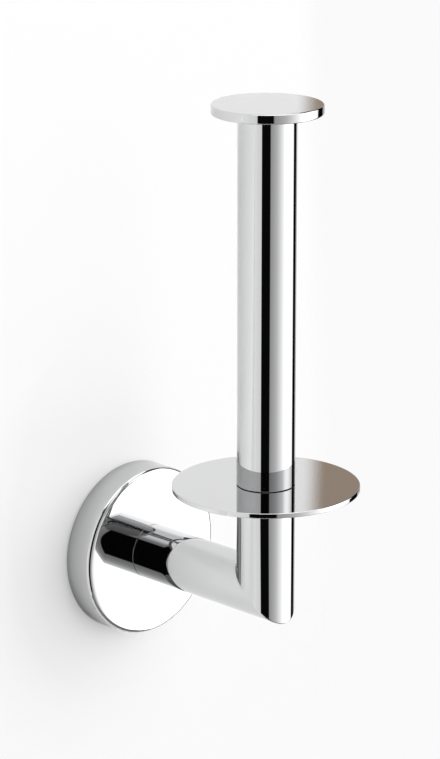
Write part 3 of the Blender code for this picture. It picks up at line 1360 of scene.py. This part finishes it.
# %% Wall material
wall_colour = (0.93, 0.93, 0.93)
wall_pale, wall_tree = empty_material("wall_pale")
place, matte = matte_colour(wall_tree, wall_colour)
path = node(wall_tree, "ShaderNodeLightPath", (-1300, 500))
axes = node(wall_tree, "ShaderNodeSeparateXYZ", (-1100, -300))
wall_tree.links.new(place.outputs["Object"], axes.inputs["Vector"])
in_plane = node(wall_tree, "ShaderNodeVectorMath", (-1100, -500), operation="MULTIPLY")
in_plane.inputs[1].default_value = (1, 0, 1)
wall_tree.links.new(place.outputs["Object"], in_plane.inputs[0])
from_centre = node(wall_tree, "ShaderNodeVectorMath", (-900, -500), operation="LENGTH")
wall_tree.links.new(in_plane.outputs["Vector"], from_centre.inputs[0])
away = from_centre.outputs["Value"]

# Painted light: a glow mixed into the lit wall, for camera rays only.
own = node(wall_tree, "ShaderNodeEmission", (-350, 150), Strength=wall_own_light)
own_level = graded(wall_tree, away, painted_glow_share, (-900, 300))
own_above = graded(wall_tree, axes.outputs["Z"], painted_glow_share_above, (-900, 600))
own_level = combined(wall_tree, "MAXIMUM", own_level, own_above, (-600, 450))
in_view = path.outputs["Is Camera Ray"]
own_level = combined(wall_tree, "MULTIPLY", own_level, in_view, (-450, 300))
own_tone = own.outputs["Emission"]
lit = mixed(wall_tree, own_level, matte.outputs["BSDF"], own_tone, (-150, 100))

# The painted shade is applied to mirror rays only.
high_up = graded(wall_tree, axes.outputs["Z"], painted_shade_with_height, (-700, -300))
rightward = graded(wall_tree, axes.outputs["X"], painted_shade_to_the_right, (-700, -50))
close_by = graded(wall_tree, away, painted_contact_shadow, (-700, -550))
mirror_dim = combined(wall_tree, "MAXIMUM", high_up, rightward, (-250, -200))
mirror_dim = combined(wall_tree, "ADD", mirror_dim, close_by, (-250, -400))
mirrored = path.outputs["Is Glossy Ray"]
mirror_dim = combined(wall_tree, "MULTIPLY", mirror_dim, mirrored, (-100, -400))
seen_dim = graded(wall_tree, axes.outputs["Z"], camera_dim, (-700, 600))
seen_dim = combined(wall_tree, "MULTIPLY", in_view, seen_dim, (-100, 400))
dim = combined(wall_tree, "ADD", seen_dim, mirror_dim, (50, 300))
black = black_surface(wall_tree, (-150, -100))
shaded = mixed(wall_tree, dim, lit, black, (200, 100))
print("wall nodes so far:", len(wall_tree.nodes))

# %% Where the wall is see-through
edge_start = 0.0837
edge_end = 0.0962
edge_slope = 0.04
across = node(wall_tree, "ShaderNodeVectorMath", (-1100, -750), operation="DOT_PRODUCT")
across.inputs[1].default_value = (1, 0, edge_slope)
wall_tree.links.new(place.outputs["Object"], across.inputs[0])
edge = node(wall_tree, "ShaderNodeMapRange", (-900, -750))
edge.interpolation_type = "SMOOTHSTEP"
edge.inputs["From Min"].default_value = edge_start
edge.inputs["From Max"].default_value = edge_end
wall_tree.links.new(across.outputs["Value"], edge.inputs["Value"])
covered_radius = plate_radius - 0.0005
covered = combined(wall_tree, "LESS_THAN", away, covered_radius, (-700, -800))
beside = combined(wall_tree, "ABSOLUTE", axes.outputs["X"], 0.0, (-900, -1150))
in_notch = combined(wall_tree, "LESS_THAN", beside, notch_half, (-700, -1150))
notch_top = grub_box[1].z
low_down = combined(wall_tree, "LESS_THAN", axes.outputs["Z"], notch_top, (-700, -1000))
in_notch = combined(wall_tree, "MULTIPLY", in_notch, low_down, (-500, -1050))
covered = combined(wall_tree, "SUBTRACT", covered, in_notch, (-400, -950))
covered = combined(wall_tree, "GREATER_THAN", covered, 0.5, (-350, -900))
facing = node(wall_tree, "ShaderNodeNewGeometry", (-900, -1000))
faded = edge.outputs["Result"]
from_behind = facing.outputs["Backfacing"]
open_here = combined(wall_tree, "MAXIMUM", faded, covered, (-500, -800))
open_here = combined(wall_tree, "MAXIMUM", open_here, from_behind, (-300, -800))
clear = node(wall_tree, "ShaderNodeBsdfTransparent", (200, -100))
shown = mixed(wall_tree, open_here, shaded, clear.outputs["BSDF"], (400, 0))
wall_output = node(wall_tree, "ShaderNodeOutputMaterial", (600, 0))
wall_tree.links.new(shown, wall_output.inputs["Surface"])
print("wall nodes:", len(wall_tree.nodes))

# %% Floor material
floor_colour = (0.9, 0.9, 0.9)
floor_dim_seen = 0.05
# Painted shade: the chrome sees the floor at less than a third of its lit brightness.
floor_dim_mirrored = 0.7
floor_pale, floor_tree = empty_material("floor_pale")
place, matte = matte_colour(floor_tree, floor_colour)
path = node(floor_tree, "ShaderNodeLightPath", (-1300, 500))
in_view = path.outputs["Is Camera Ray"]
seen_dim = combined(floor_tree, "MULTIPLY", in_view, floor_dim_seen, (-600, 400))
mirrored = path.outputs["Is Glossy Ray"]
mirror_dim = combined(floor_tree, "MULTIPLY", mirrored, floor_dim_mirrored, (-600, 200))
dim = combined(floor_tree, "ADD", seen_dim, mirror_dim, (-300, 300))
black = black_surface(floor_tree, (-350, -200))
shaded = mixed(floor_tree, dim, matte.outputs["BSDF"], black, (0, 0))
floor_output = node(floor_tree, "ShaderNodeOutputMaterial", (200, 0))
floor_tree.links.new(shaded, floor_output.inputs["Surface"])
print("floor nodes:", len(floor_tree.nodes))


# %% Wall and floor
def panel(name, low, high, turn, place, material):
    """A flat sheet for the stage: a rectangle that is turned and set in its place."""
    shape = bmesh.new()
    bmesh.ops.create_grid(shape, x_segments=1, y_segments=1, size=0.5)
    low, high = Vector((*low, 0)), Vector((*high, 0))
    size = high - low
    bmesh.ops.scale(shape, vec=(size.x, size.y, 1), verts=shape.verts)
    bmesh.ops.translate(shape, vec=(low + high) / 2, verts=shape.verts)
    shape = moved(shape, turn, place)
    mesh = bpy.data.meshes.new(name)
    shape.to_mesh(mesh)
    shape.free()
    mesh.materials.append(material)
    made = bpy.data.objects.new(name, mesh)
    bpy.context.scene.collection.objects.link(made)


wall_face = (0, 0.0002, 0)
floor_level = -1.2
wall_low, wall_high = (-1.2, floor_level), (0.1, 1.0)
floor_low, floor_high = (-1.0, -1.0), (1.0, 1.0)
flat = Matrix.Identity(4)
panel("wall_panel", wall_low, wall_high, out_from_wall, wall_face, wall_pale)
panel("floor", floor_low, floor_high, flat, (0, 0, floor_level), floor_pale)
print("wall panel and floor in place")

# %% [markdown]
# ## The light
#
# One broad sun from the upper right gives the wall the soft shadow of the rosette. The
# wider its angle, the softer the shadow. The chrome doesn't mirror it, because the
# studio already holds everything that the polish should show.

# %% Soft light from the upper right
lamp_data = bpy.data.lights.new("soft_light", "SUN")
lamp_data.energy = 5.2
lamp_data.angle = math.radians(80)
lamp = bpy.data.objects.new("soft_light", lamp_data)
lamp.location = (0.62, -1.0, 0.5)
lamp.rotation_euler = lamp.location.to_track_quat("Z", "Y").to_euler()
lamp.visible_glossy = False
bpy.context.scene.collection.objects.link(lamp)
print("light strength", lamp_data.energy)

# %% [markdown]
# ## Last settings
#
# The Standard view leaves the greys as they are, and chrome is nothing but greys.

# %% View settings
bpy.context.scene.view_settings.view_transform = "Standard"
